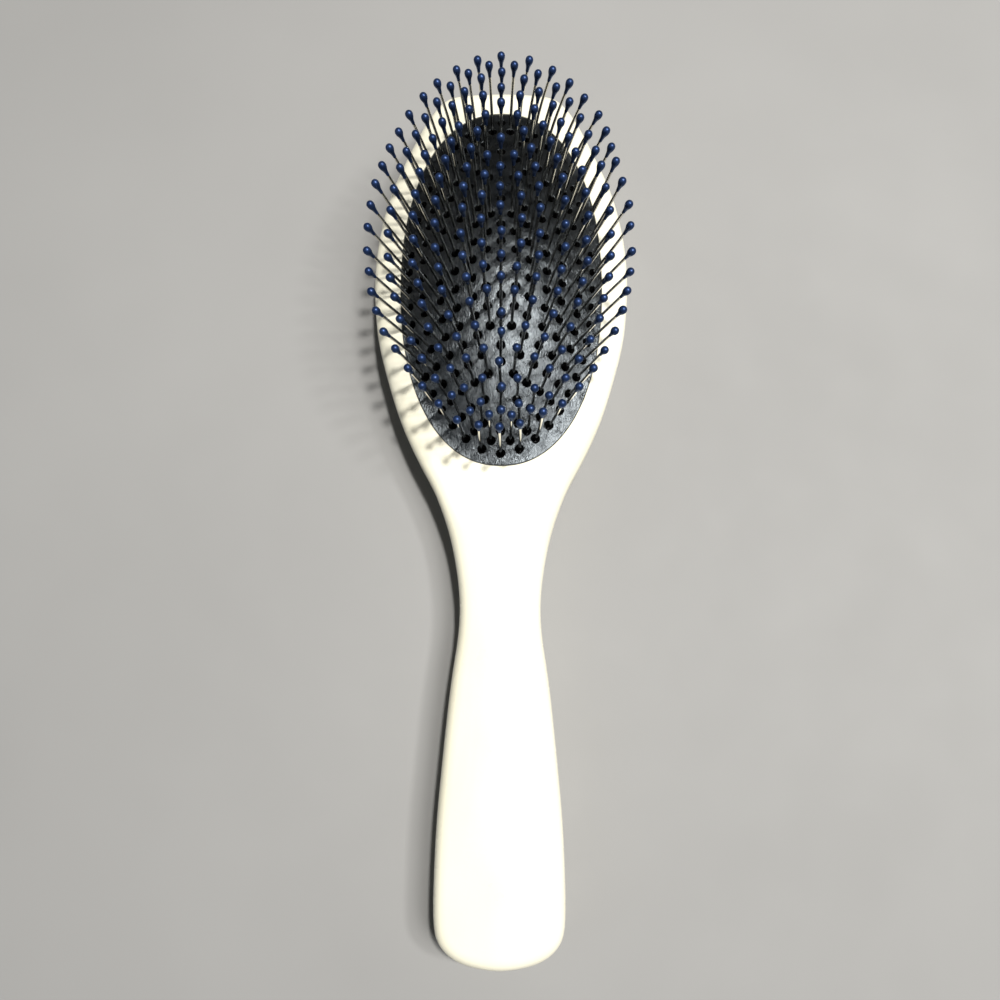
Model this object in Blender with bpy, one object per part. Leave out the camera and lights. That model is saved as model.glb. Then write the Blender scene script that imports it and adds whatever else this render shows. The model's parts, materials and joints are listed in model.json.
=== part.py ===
"""Hair grooming brush: oval air-cushion head with rows of ball-tipped steel pins, and a flat paddle-shaped handle.

The brush lies on its back with its pins up: +Z up, +Y from the handle towards the head, X across.
The origin is under the middle of the whole brush, on the surface it lies on. Dimensions are in
millimetres and are turned into metres when the meshes are made.

It is built as it is assembled: a front shell (frame and handle face in one moulding), a back shell,
an oval tray that closes the air chamber, a rubber cushion whose flange the tray clamps under the
frame's lip, and wire pins that stand through holes in the rubber. The pins stand on six oval rings and
a short middle line. Each stretch of a ring is one object: its pins share the thin strip under the
rubber that holds their feet.
"""

import math

import bmesh
import bpy
import numpy as np
from mathutils import Vector
from mathutils.geometry import delaunay_2d_cdt

MM = 0.001

# ---------------------------------------------------------------- driving dimensions, mm
LENGTH = 229.0            # handle end to head tip
FRONT_Z = 16.0            # height of the flat front face above the back
PART_Z = 8.5              # height of the joint line between the two shells
SHELL_GAP = 0.3           # gap at the joint line
WALL = 2.0                # side wall of both shells
FRONT_WALL = 1.8          # front face
BACK_WALL = 1.9           # back face
EDGE_R = 3.0              # rounding of the front edge
LAND_X = 0.45             # back land's width, as a share of the outline's
LAND_TOP = 18.0           # back land ends this far below the head tip
LAND_END = 12.0           # and this far above the handle end
BACK_FULLNESS = 2.2       # 2 is an ellipse from side to back, more is fuller
ARCH_RISE = 2.2           # the back rises this much under the neck
ARCH_Y = (-70.0, 10.0)    # between these two places

# Half outline seen from the front, head tip to handle end: (half width, distance from the head tip)
OUTLINE = (
    (0.0, 0.0), (9.0, 0.4), (13.8, 1.2), (16.9, 3.0), (21.0, 8.6), (25.7, 18.5), (30.8, 31.5),
    (33.8, 46.4), (34.35, 57.0), (34.0, 64.2), (32.8, 73.9), (30.2, 84.2), (26.6, 95.4),
    (21.7, 106.3), (17.6, 114.0), (15.1, 120.0), (12.8, 127.3), (11.0, 136.6), (10.3, 144.7),
    (10.75, 152.7), (12.1, 162.1), (14.2, 182.5), (15.35, 197.0), (15.8, 210.5), (15.6, 219.5),
    (14.6, 223.1), (12.2, 225.9), (7.7, 228.1), (0.0, 229.0),
)

OPENING_Y = 56.6          # centre of the opening along the brush
OPENING_A = 27.05         # half width of the opening
OPENING_B = 50.5          # half length
OPENING_E = 0.914         # below 1 is squarer than an ellipse
LIP_RIB = (2.7, 3.7)      # rib round the cushion's seat, distances outside the opening's edge
LIP_RIB_Z = -5.3          # its lower edge, from the front face

RUBBER = 1.5              # cushion wall
DOME_H = 9.3              # crown above the cushion's edge
DOME_Z0 = -0.2            # cushion's edge, from the front face
DOME_Q = 1.33             # 1 is a parabola, more flattens the edge
CUSHION_GAP = 0.35        # cushion to frame
FLANGE_OUT = 2.35         # flange reaches this far outside the opening's edge
FLANGE_Z = (-2.1, -3.3)   # flange, top and underside
TRAY_OUT = 2.35           # tray rim's reach
TRAY_Z = (-3.6, -5.0)     # tray rim, top and underside
TRAY_FLOOR_Z = (-6.5, -7.9)
VENT_R = 1.2

# Pin rings: (pins, half width, half length, exponent, arcs on each side)
RINGS = (
    (46, 24.75, 47.3, 1.06, 4),
    (42, 20.75, 44.5, 1.06, 4),
    (38, 16.15, 41.7, 1.06, 4),
    (32, 12.05, 36.6, 1.06, 4),
    (26, 7.50, 31.2, 1.06, 3),
)
INNER_PAIRS = 7           # the innermost ring has this many pins on each side and one at each end
INNER_A, INNER_B, INNER_END = 4.0, 15.5, 20.5
LINE_PINS, LINE_PITCH = 6, 5.0   # the middle line
LONE_Y = -24.6            # one pin more on the middle line, at the handle end only
PIN_LENGTH = 23.5         # rubber surface to ball centre
BALL_R = 1.07
WIRE_HALF = 0.31          # half side of the square that stands for a 0.7 mm round wire
HOLE_HALF = 0.64
TIP_NECK = 3.0            # the coated tip starts this far below the ball centre
SPLAY_X, SPLAY_X_P = 0.349, 1.38   # sideways lean of a pin at the cushion's side, and how it grows
SPLAY_Y, SPLAY_Y_P = 0.081, 0.40   # the same towards the two ends
STRIP_DEPTH = 2.0         # top of the foot strip under the rubber's surface
STRIP_H = 0.8

# Zones of the cushion by height of the rubber, as a share of the crown's: name and lowest share
ZONES = (("crown", 0.84), ("inner", 0.63), ("middle", 0.39), ("outer", 0.17), ("edge", -1.0))

POSTS = ((12.0, 24.0), (-12.0, 24.0), (12.0, -24.0), (-12.0, -24.0))  # under the tray, from its centre
POST_R = 2.0
DOWELS_Y = (-62.0, -94.0)  # locating dowels in the handle
DOWEL_R, SOCKET_R, SOCKET_BORE = 1.5, 3.0, 1.9


# ---------------------------------------------------------------- curves
def spline(points, per_span=40):
    """A closed smooth curve through the points: periodic cubic spline over the square root of the chords."""
    p = np.array(points, float)
    n = len(p)
    h = np.sqrt(np.linalg.norm(np.roll(p, -1, 0) - p, axis=1))
    matrix = np.zeros((n, n))
    right = np.zeros((n, 2))
    for i in range(n):
        a, b = h[i - 1], h[i]
        matrix[i, i - 1] = a
        matrix[i, i] = 2 * (a + b)
        matrix[i, (i + 1) % n] = b
        right[i] = 6 * ((p[(i + 1) % n] - p[i]) / b - (p[i] - p[i - 1]) / a)
    m = np.linalg.solve(matrix, right)
    out = []
    for i in range(n):
        j = (i + 1) % n
        for u in np.arange(per_span) / per_span * h[i]:
            v = h[i] - u
            out.append(
                (m[i] * v**3 + m[j] * u**3) / (6 * h[i])
                + (p[i] / h[i] - m[i] * h[i] / 6) * v
                + (p[j] / h[i] - m[j] * h[i] / 6) * u
            )
    return np.array(out)


def brush_outline(count):
    """count points and outward normals round the outline, from the head tip down the +X side, closer together where it bends more."""
    right = [(w, LENGTH / 2 - d) for w, d in OUTLINE]
    left = [(-w, y) for w, y in right[-2:0:-1]]
    curve = spline(right + left)
    half = curve[: len(curve) // 2 + 1].copy()
    half[0, 0] = half[-1, 0] = 0.0
    step = np.linalg.norm(np.diff(half, axis=0), axis=1)
    s = np.concatenate([[0], np.cumsum(step)])
    even = np.linspace(0, s[-1], 1601)
    x, y = np.interp(even, s, half[:, 0]), np.interp(even, s, half[:, 1])
    dx, dy = np.gradient(x, even), np.gradient(y, even)
    dx[0] = dx[-1] = np.sign(x[800])
    dx[-1] = -dx[-1]
    dy[0] = dy[-1] = 0.0
    turn = np.abs(np.gradient(np.unwrap(np.arctan2(dy, dx)), even))
    turn = np.convolve(np.pad(turn, 20, mode="edge"), np.ones(41) / 41, mode="valid")
    density = turn + 1 / 45
    cumulative = np.concatenate([[0], np.cumsum((density[1:] + density[:-1]) / 2)])
    want = np.linspace(0, cumulative[-1], count // 2 + 1)
    at = np.interp(want, cumulative, even)
    px, py = np.interp(at, even, x), np.interp(at, even, y)
    tx, ty = np.interp(at, even, dx), np.interp(at, even, dy)
    size = np.hypot(tx, ty)
    nx, ny = -ty / size, tx / size
    right_p, right_n = np.stack([px, py], 1), np.stack([nx, ny], 1)
    flip = np.array([-1.0, 1.0])
    points = np.concatenate([right_p, (right_p * flip)[-2:0:-1]])
    normals = np.concatenate([right_n, (right_n * flip)[-2:0:-1]])
    return points, normals


def oval(a, b, e, count, first=0.0):
    """count points at equal distances round a superellipse, from +Y towards +X, the first one that many steps on."""
    t = np.linspace(0, 2 * math.pi, 2881)
    x = a * np.sign(np.sin(t)) * np.abs(np.sin(t)) ** e
    y = b * np.sign(np.cos(t)) * np.abs(np.cos(t)) ** e
    s = np.concatenate([[0], np.cumsum(np.hypot(np.diff(x), np.diff(y)))])
    at = (np.arange(count) + first) / count * s[-1]
    return np.stack([np.interp(at, s, x), np.interp(at, s, y)], 1)


def opening(outside, count):
    """The opening's edge, that far outside it."""
    curve = oval(OPENING_A + outside, OPENING_B + outside, OPENING_E, count)
    return curve + np.array([0, OPENING_Y])


def dome(x, y):
    """Height of the rubber's surface, for a point measured from the opening's centre."""
    r2 = (x / OPENING_A) ** 2 + (y / OPENING_B) ** 2
    return FRONT_Z + DOME_Z0 + DOME_H * max(1.0 - r2, 0.0) ** DOME_Q


def back_z(y):
    """Height of the back land along the brush."""
    low, high = ARCH_Y
    if not low < y < high:
        return 0.0
    return ARCH_RISE * math.sin(math.pi * (y - low) / (high - low)) ** 2


# ---------------------------------------------------------------- meshes
class Solid:
    """A closed mesh made of loops of points and the faces between them."""

    def __init__(self):
        self.bm = bmesh.new()

    def loop(self, points, z=None):
        if z is None:
            zs = [p[2] for p in points]
        else:
            zs = [z] * len(points) if np.isscalar(z) else z
        return [self.bm.verts.new((p[0] * MM, p[1] * MM, h * MM)) for p, h in zip(points, zs)]

    def bridge(self, a, b):
        for i in range(len(a)):
            j = (i + 1) % len(a)
            self.bm.faces.new((a[i], a[j], b[j], b[i]))

    def stack(self, loops):
        for a, b in zip(loops, loops[1:]):
            self.bridge(a, b)

    def cap(self, loop):
        self.bm.faces.new(loop)

    def ladder(self, loop):
        """Fills a loop that is the same on both sides of X = 0 with strips straight across."""
        n = len(loop)
        self.bm.faces.new((loop[0], loop[1], loop[n - 1]))
        for i in range(1, n // 2 - 1):
            self.bm.faces.new((loop[i], loop[i + 1], loop[n - i - 1], loop[n - i]))
        self.bm.faces.new((loop[n // 2 - 1], loop[n // 2], loop[n // 2 + 1]))

    def ring_face(self, outer, inner):
        """Fills the flat space between two loops at one height."""
        edges = []
        for loop in (outer, inner):
            for i in range(len(loop)):
                pair = (loop[i], loop[(i + 1) % len(loop)])
                edges.append(self.bm.edges.get(pair) or self.bm.edges.new(pair))
        bmesh.ops.triangle_fill(self.bm, use_beauty=True, edges=edges, normal=(0, 0, 1))

    def object(self, name, colour, roughness, metallic=0.0, triangles=False):
        bmesh.ops.recalc_face_normals(self.bm, faces=self.bm.faces)
        if self.bm.calc_volume(signed=True) < 0:
            bmesh.ops.reverse_faces(self.bm, faces=self.bm.faces)
        if triangles:
            bmesh.ops.triangulate(self.bm, faces=self.bm.faces)
        mesh = bpy.data.meshes.new(name)
        self.bm.to_mesh(mesh)
        self.bm.free()
        made = bpy.data.objects.new(name, mesh)
        bpy.context.scene.collection.objects.link(made)
        mesh.shade_smooth()
        mesh.set_sharp_from_angle(angle=math.radians(35))
        mesh.materials.append(material(name, colour, roughness, metallic))
        return made


def material(name, colour, roughness, metallic):
    made = bpy.data.materials.new("mat_" + name)
    made.use_nodes = True
    shader = made.node_tree.nodes["Principled BSDF"]
    shader.inputs["Base Color"].default_value = (*colour, 1)
    shader.inputs["Roughness"].default_value = roughness
    shader.inputs["Metallic"].default_value = metallic
    made.diffuse_color = (*colour, 1)
    return made


def circle(x, y, r, count):
    t = np.arange(count) / count * 2 * math.pi
    return np.stack([x + r * np.sin(t), y + r * np.cos(t)], 1)


def boolean(target, tool, operation):
    """Joins or cuts with a helper that is itself left out of the model."""
    tool.hide_render = True
    tool.display_type = "WIRE"
    modifier = target.modifiers.new(operation.lower() + "_" + tool.name, "BOOLEAN")
    modifier.operation = operation
    modifier.object = tool
    modifier.solver = "EXACT"


# ---------------------------------------------------------------- pins
def lean(x, y):
    """Unit direction of the pin that stands at x, y from the opening's centre."""
    u, w = x / OPENING_A, y / OPENING_B
    v = np.array([
        SPLAY_X * math.copysign(abs(u) ** SPLAY_X_P, u),
        SPLAY_Y * math.copysign(abs(w) ** SPLAY_Y_P, w),
        1.0,
    ])
    return v / np.linalg.norm(v)


def pin_rows():
    """Every row of pins: (name, list of places from the opening's centre, in order along the row)."""
    rows = []
    for number, (count, a, b, e, arcs) in enumerate(RINGS, 1):
        ring = oval(a, b, e, count, 0.5 if number == 2 else 0.0)
        right, left = ring[: count // 2], ring[count // 2:]
        for side, half in (("right", right), ("left", left)):
            for k, arc in enumerate(np.array_split(half, arcs), 1):
                rows.append((f"pins_ring{number}_{side}_{k}", arc))
    ys = np.linspace(INNER_B, -INNER_B, INNER_PAIRS)
    side = [(INNER_A * math.sqrt(1 - (y / (INNER_END + 0.9)) ** 2), y) for y in ys]
    right = [(0.0, INNER_END)] + side
    left = [(0.0, LONE_Y), (0.0, -INNER_END)] + [(-x, y) for x, y in side[::-1]]
    for name, half in (("right", right), ("left", left)):
        for k, arc in enumerate(np.array_split(np.array(half), 2), 1):
            rows.append((f"pins_ring6_{name}_{k}", arc))
    line = [(0.0, (i - (LINE_PINS - 1) / 2) * LINE_PITCH) for i in range(LINE_PINS)]
    rows.append(("pins_middle_line", np.array(line[::-1])))
    return rows


def foot_of(x, y):
    """Where the pin's wire meets the top of the strip under the rubber."""
    v = lean(x, y)
    base = np.array([x, y, dome(x, y)])
    reach = STRIP_DEPTH
    for _ in range(6):
        p = base - v * reach
        reach += (p[2] - (dome(p[0], p[1]) - STRIP_DEPTH)) / v[2]
    return base - v * reach


def frame_at(along, up):
    """Two unit vectors square to up, the first one as near as it can be to along."""
    first = along - up * np.dot(along, up)
    first /= np.linalg.norm(first)
    return first, np.cross(up, first)


def pin_row(name, places):
    """One row of pins with the strip that holds their feet."""
    shift = np.array([0, OPENING_Y, 0])
    feet = np.array([foot_of(x, y) for x, y in places]) + shift
    bases = np.array([(x, y, dome(x, y)) for x, y in places]) + shift
    leans = [lean(x, y) for x, y in places]
    n = len(places)
    solid = Solid()
    sections = []
    down = np.array([0, 0, -STRIP_H])
    for i in range(n):
        along = feet[min(i + 1, n - 1)] - feet[max(i - 1, 0)]
        along = along / np.linalg.norm(along)
        across = np.cross(np.array([0, 0, 1.0]), along)
        across /= np.linalg.norm(across)
        for sign in (-1, 1):
            middle = feet[i] + along * WIRE_HALF * sign
            ring = [middle + across * WIRE_HALF, middle - across * WIRE_HALF, middle + down]
            sections.append([solid.bm.verts.new(p * MM) for p in ring])
        one, two = frame_at(along, leans[i])
        before, after = sections[-2], sections[-1]
        ring = [before[0], before[1], after[1], after[0]]
        for where, half in (
            (bases[i] + leans[i] * (PIN_LENGTH - TIP_NECK), WIRE_HALF),
            (bases[i] + leans[i] * PIN_LENGTH, BALL_R / math.sqrt(2)),
        ):
            upper = [
                solid.bm.verts.new((where + one * half * p + two * half * q) * MM)
                for p, q in ((-1, 1), (-1, -1), (1, -1), (1, 1))
            ]
            solid.bridge(ring, upper)
            ring = upper
        top = bases[i] + leans[i] * (PIN_LENGTH + BALL_R)
        apex = solid.bm.verts.new(top * MM)
        for k in range(4):
            solid.bm.faces.new((ring[k], ring[(k + 1) % 4], apex))
    for k, (a, b) in enumerate(zip(sections, sections[1:])):
        if k % 2:
            solid.bm.faces.new((a[0], a[1], b[1], b[0]))
        solid.bm.faces.new((a[1], a[2], b[2], b[1]))
        solid.bm.faces.new((a[2], a[0], b[0], b[2]))
    solid.bm.faces.new(sections[0])
    solid.bm.faces.new(sections[-1])
    return solid.object(name, (0.30, 0.29, 0.28), 0.3, 1.0)


def hole_corners(rows):
    """The four edges of the square hole along each pin: (where they cross the rubber's surface, direction)."""
    holes = []
    for _, places in rows:
        n = len(places)
        feet = [foot_of(x, y) for x, y in places]
        for i, (x, y) in enumerate(places):
            along = feet[min(i + 1, n - 1)] - feet[max(i - 1, 0)]
            v = lean(x, y)
            one, two = frame_at(along / np.linalg.norm(along), v)
            base = np.array([x, y, dome(x, y)])
            square = [
                base + one * HOLE_HALF * p + two * HOLE_HALF * q
                for p, q in ((-1, 1), (-1, -1), (1, -1), (1, 1))
            ]
            holes.append((square, v))
    return holes


def on_rubber(point, direction, sink):
    """Where the line meets the rubber's surface, or the surface that much below it."""
    for _ in range(12):
        point = point - direction * (point[2] - (dome(point[0], point[1]) - sink)) / direction[2]
    return point


def pierced(solid, edge, holes, sink):
    """The rubber's surface inside the edge loop, with every hole left open: its hole loops."""
    flat = [Vector((v.co.x / MM, v.co.y / MM - OPENING_Y)) for v in edge]
    loops, faces = [], [list(range(len(edge)))]
    for square, v in holes:
        points = [on_rubber(p, v, sink) for p in square]
        faces.append(list(range(len(flat), len(flat) + 4)))
        flat += [Vector((p[0], p[1])) for p in points]
        lifted = [(p[0], p[1] + OPENING_Y, p[2]) for p in points]
        loops.append(solid.loop(lifted))
    verts = edge + [v for loop in loops for v in loop]
    found = delaunay_2d_cdt(flat, [], faces, 1, 1e-5)
    origin = found[3]
    for triangle in found[2]:
        mine = [origin[i][0] for i in triangle]
        owner = {(i - len(edge)) // 4 if i >= len(edge) else None for i in mine}
        if len(owner) == 1 and None not in owner:
            continue
        solid.bm.faces.new([verts[i] for i in mine])
    return loops


# ---------------------------------------------------------------- the pieces
WHITE = (0.86, 0.85, 0.80)


def front_shell():
    count, ring = 92, 60
    outline, normal = brush_outline(count)
    solid = Solid()
    inside = outline - normal * WALL
    foot = PART_Z + SHELL_GAP / 2
    loops = [solid.loop(inside, foot), solid.loop(outline, foot)]
    for k in range(5):
        turn = k / 4 * math.pi / 2
        inset = EDGE_R * (1 - math.cos(turn))
        loops.append(solid.loop(outline - normal * inset, FRONT_Z - EDGE_R * (1 - math.sin(turn))))
    solid.stack(loops)
    under = FRONT_Z - FRONT_WALL
    ceiling = solid.loop(inside, under)
    solid.bridge(ceiling, loops[0])
    edge = solid.loop(opening(0, ring), FRONT_Z)
    lip = solid.loop(opening(0, ring), under)
    rib_z = FRONT_Z + LIP_RIB_Z
    rib = [
        solid.loop(opening(LIP_RIB[0], ring), under),
        solid.loop(opening(LIP_RIB[0], ring), rib_z),
        solid.loop(opening(LIP_RIB[1], ring), rib_z),
        solid.loop(opening(LIP_RIB[1], ring), under),
    ]
    solid.stack([edge, lip] + rib)
    solid.ring_face(loops[-1], edge)
    solid.ring_face(ceiling, rib[-1])
    shell = solid.object("front_shell", WHITE, 0.28)
    for k, y in enumerate(DOWELS_Y):
        tube = Solid()
        top, low, bore = FRONT_Z - 0.9, PART_Z + 0.6, FRONT_Z - 2.6
        outer = [tube.loop(circle(0, y, SOCKET_R, 14), z) for z in (top, low)]
        inner = [tube.loop(circle(0, y, SOCKET_BORE, 14), z) for z in (low, bore)]
        tube.cap(outer[0])
        tube.stack(outer + inner)
        tube.cap(inner[1])
        boolean(shell, tube.object(f"add_socket_{k}", WHITE, 0.4), "UNION")
    return shell


def back_shell():
    count = 84
    outline, normal = brush_outline(count)
    solid = Solid()
    top = PART_Z - SHELL_GAP / 2

    def flank(curve, thickness, steps):
        half = LENGTH / 2 - (LENGTH / 2 - np.abs(curve[:, 1]).max())
        span = 2 * half - (LAND_TOP + LAND_END) * half / (LENGTH / 2)
        middle = (LAND_END - LAND_TOP) / 2
        loops = []
        for k in range(steps + 1):
            turn = k / steps * math.pi / 2
            u = 1 - math.cos(turn) ** (2 / BACK_FULLNESS)
            drop = math.sin(turn) ** (2 / BACK_FULLNESS)
            x = curve[:, 0] * (1 - u * (1 - LAND_X))
            y = curve[:, 1] * (1 - u) + u * (curve[:, 1] / (2 * half) * span + middle)
            z = [top - drop * (top - thickness - back_z(v)) for v in y]
            loops.append(solid.loop(np.stack([x, y], 1), z))
        return loops

    outer = flank(outline, 0.0, 6)
    inner = flank(outline - normal * WALL, BACK_WALL, 4)
    solid.stack(outer)
    solid.stack(inner)
    solid.bridge(outer[0], inner[0])
    solid.ladder(outer[-1])
    solid.ladder(inner[-1])
    shell = solid.object("back_shell", WHITE, 0.28)
    tray_under = FRONT_Z + TRAY_FLOOR_Z[1] - 0.3
    posts = [(x, OPENING_Y + y, POST_R, tray_under) for x, y in POSTS]
    posts += [(0, y, DOWEL_R, 12.6) for y in DOWELS_Y]
    for k, (x, y, r, high) in enumerate(posts):
        post = Solid()
        low = back_z(y) + 0.9
        loops = [post.loop(circle(x, y, r, 12), z) for z in (low, high)]
        post.cap(loops[0])
        post.stack(loops)
        post.cap(loops[1])
        boolean(shell, post.object(f"add_post_{k}", WHITE, 0.4), "UNION")
    return shell


def cushion(rows):
    count = 56
    solid = Solid()
    holes = hole_corners(rows)
    up = np.array([0, OPENING_Y])
    outer = opening(-CUSHION_GAP, count)
    inner = oval(OPENING_A - 1.35, OPENING_B - 1.35, OPENING_E, count) + up
    top, under = (FRONT_Z + z for z in FLANGE_Z)
    skirt = [
        solid.loop(outer, [dome(x, y - OPENING_Y) for x, y in outer]),
        solid.loop(outer, top),
        solid.loop(opening(FLANGE_OUT, count), top),
        solid.loop(opening(FLANGE_OUT, count), under),
        solid.loop(inner, under),
        solid.loop(inner, [dome(x, y - OPENING_Y) - RUBBER for x, y in inner]),
    ]
    solid.stack(skirt)
    above = pierced(solid, skirt[0], holes, 0.0)
    below = pierced(solid, skirt[-1], holes, RUBBER)
    for a, b in zip(above, below):
        solid.bridge(a, b)
    return solid.object("cushion", (0.02, 0.02, 0.022), 0.55)


def chamber_tray():
    count = 48
    solid = Solid()
    rim_top, rim_under = (FRONT_Z + z for z in TRAY_Z)
    floor_top, floor_under = (FRONT_Z + z for z in TRAY_FLOOR_Z)
    vents = [solid.loop(circle(0, OPENING_Y, VENT_R, 10), z) for z in (floor_top, floor_under)]
    solid.bridge(*vents)
    loops = [
        solid.loop(opening(-3.4, count), floor_top),
        solid.loop(opening(-1.35, count), rim_top),
        solid.loop(opening(TRAY_OUT, count), rim_top),
        solid.loop(opening(TRAY_OUT, count), rim_under),
        solid.loop(opening(0.0, count), rim_under),
        solid.loop(opening(-2.2, count), floor_under),
    ]
    solid.stack(loops)
    solid.ring_face(loops[0], vents[0])
    solid.ring_face(loops[-1], vents[1])
    return solid.object("chamber_tray", (0.55, 0.55, 0.54), 0.5)


def zone_of(places):
    crown = dome(0, 0) - FRONT_Z - DOME_Z0
    share = np.mean([(dome(x, y) - FRONT_Z - DOME_Z0) / crown for x, y in places])
    return next(name for name, low in ZONES if share >= low)


def main():
    for old in list(bpy.data.objects):
        bpy.data.objects.remove(old)
    rows = pin_rows()
    front_shell()
    back_shell()
    chamber_tray()
    cushion(rows)
    zones = {}
    for name, _ in ZONES:
        empty = bpy.data.objects.new("slide_" + name, None)
        empty.location = Vector((0, OPENING_Y * MM, FRONT_Z * MM))
        bpy.context.scene.collection.objects.link(empty)
        zones[name] = empty
    bpy.context.view_layer.update()
    for name, places in rows:
        row = pin_row(name, places)
        row.parent = zones[zone_of(places)]
        row.matrix_parent_inverse = row.parent.matrix_world.inverted()


main()
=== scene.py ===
"""Looks of the hair grooming brush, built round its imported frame.

The brush lies on its back on a pale floor. Lengths below are in millimetres until a mesh is made.
The curves (outline, opening, dome, pin places and leans) follow the same rules as the solids.
"""

import json
import math
import random

import bmesh
import bpy
import numpy as np
from mathutils import Euler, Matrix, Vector
from mathutils.geometry import delaunay_2d_cdt


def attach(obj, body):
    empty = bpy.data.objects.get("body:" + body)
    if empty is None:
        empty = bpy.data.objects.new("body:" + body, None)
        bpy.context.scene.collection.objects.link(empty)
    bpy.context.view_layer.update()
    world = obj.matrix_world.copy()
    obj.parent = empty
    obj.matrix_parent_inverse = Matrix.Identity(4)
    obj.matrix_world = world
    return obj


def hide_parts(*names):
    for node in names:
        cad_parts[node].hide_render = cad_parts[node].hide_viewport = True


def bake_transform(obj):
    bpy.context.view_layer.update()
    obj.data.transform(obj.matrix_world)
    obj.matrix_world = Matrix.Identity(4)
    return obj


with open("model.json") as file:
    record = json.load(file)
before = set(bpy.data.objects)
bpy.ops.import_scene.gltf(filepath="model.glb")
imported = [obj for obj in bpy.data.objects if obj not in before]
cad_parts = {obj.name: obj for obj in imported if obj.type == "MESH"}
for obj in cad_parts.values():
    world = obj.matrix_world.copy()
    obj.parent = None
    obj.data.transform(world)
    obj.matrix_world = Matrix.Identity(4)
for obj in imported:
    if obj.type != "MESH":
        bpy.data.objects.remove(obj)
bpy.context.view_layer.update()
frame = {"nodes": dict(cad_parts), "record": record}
SCENE = bpy.context.scene
MM = 0.001

# ------------------------------------------------------------------ sizes, mm
LENGTH = 229.0
FRONT_Z = 16.0
PART_Z = 8.5
SHELL_GAP = 0.3
WALL = 2.0
FRONT_WALL = 1.8
BACK_WALL = 1.9
EDGE_R = 3.0
LAND_X = 0.45
LAND_TOP = 18.0
LAND_END = 12.0
BACK_FULLNESS = 2.2
ARCH_RISE = 2.2
ARCH_Y = (-70.0, 10.0)
OUTLINE = (
    (0.0, 0.0), (9.0, 0.4), (13.8, 1.2), (16.9, 3.0), (21.0, 8.6), (25.7, 18.5), (30.8, 31.5),
    (33.8, 46.4), (34.35, 57.0), (34.0, 64.2), (32.8, 73.9), (30.2, 84.2), (26.6, 95.4),
    (21.7, 106.3), (17.6, 114.0), (15.1, 120.0), (12.8, 127.3), (11.0, 136.6), (10.3, 144.7),
    (10.75, 152.7), (12.1, 162.1), (14.2, 182.5), (15.35, 197.0), (15.8, 210.5), (15.6, 219.5),
    (14.6, 223.1), (12.2, 225.9), (7.7, 228.1), (0.0, 229.0),
)
OPENING_Y, OPENING_A, OPENING_B, OPENING_E = 56.6, 27.05, 50.5, 0.914
LIP_RIB, LIP_RIB_Z = (2.7, 3.7), -5.3
RUBBER = 1.5
DOME_H, DOME_Z0, DOME_Q = 9.3, -0.2, 1.33
CUSHION_GAP = 0.35
FLANGE_OUT, FLANGE_Z = 2.35, (-2.1, -3.3)
TRAY_FLOOR_Z = (-6.5, -7.9)
RINGS = (
    (46, 24.75, 47.3, 1.06, 4),
    (42, 20.75, 44.5, 1.06, 4),
    (38, 16.15, 41.7, 1.06, 4),
    (32, 12.05, 36.6, 1.06, 4),
    (26, 7.50, 31.2, 1.06, 3),
)
INNER_PAIRS, INNER_A, INNER_B, INNER_END = 7, 4.0, 15.5, 20.5
LINE_PINS, LINE_PITCH, LONE_Y = 6, 5.0, -24.6
PIN_LENGTH, BALL_R, WIRE_R = 23.5, 1.07, 0.38
SPLAY_X, SPLAY_X_P, SPLAY_Y, SPLAY_Y_P = 0.349, 1.38, 0.081, 0.40
POSTS = ((12.0, 24.0), (-12.0, 24.0), (12.0, -24.0), (-12.0, -24.0))
POST_R, DOWELS_Y, DOWEL_R, SOCKET_R, SOCKET_BORE = 2.0, (-62.0, -94.0), 1.5, 3.0, 1.9

CRATER_R = 1.18       # dimple round each pin, at the rubber's surface
CRATER_DEPTH = 1.15
NECK_R = 0.60         # hole at the bottom of the dimple


# ------------------------------------------------------------------ curves
def spline(points, per_span=40):
    p = np.array(points, float)
    n = len(p)
    h = np.sqrt(np.linalg.norm(np.roll(p, -1, 0) - p, axis=1))
    matrix = np.zeros((n, n))
    right = np.zeros((n, 2))
    for i in range(n):
        a, b = h[i - 1], h[i]
        matrix[i, i - 1] = a
        matrix[i, i] = 2 * (a + b)
        matrix[i, (i + 1) % n] = b
        right[i] = 6 * ((p[(i + 1) % n] - p[i]) / b - (p[i] - p[i - 1]) / a)
    m = np.linalg.solve(matrix, right)
    out = []
    for i in range(n):
        j = (i + 1) % n
        for u in np.arange(per_span) / per_span * h[i]:
            v = h[i] - u
            out.append(
                (m[i] * v**3 + m[j] * u**3) / (6 * h[i])
                + (p[i] / h[i] - m[i] * h[i] / 6) * v
                + (p[j] / h[i] - m[j] * h[i] / 6) * u
            )
    return np.array(out)


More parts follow.
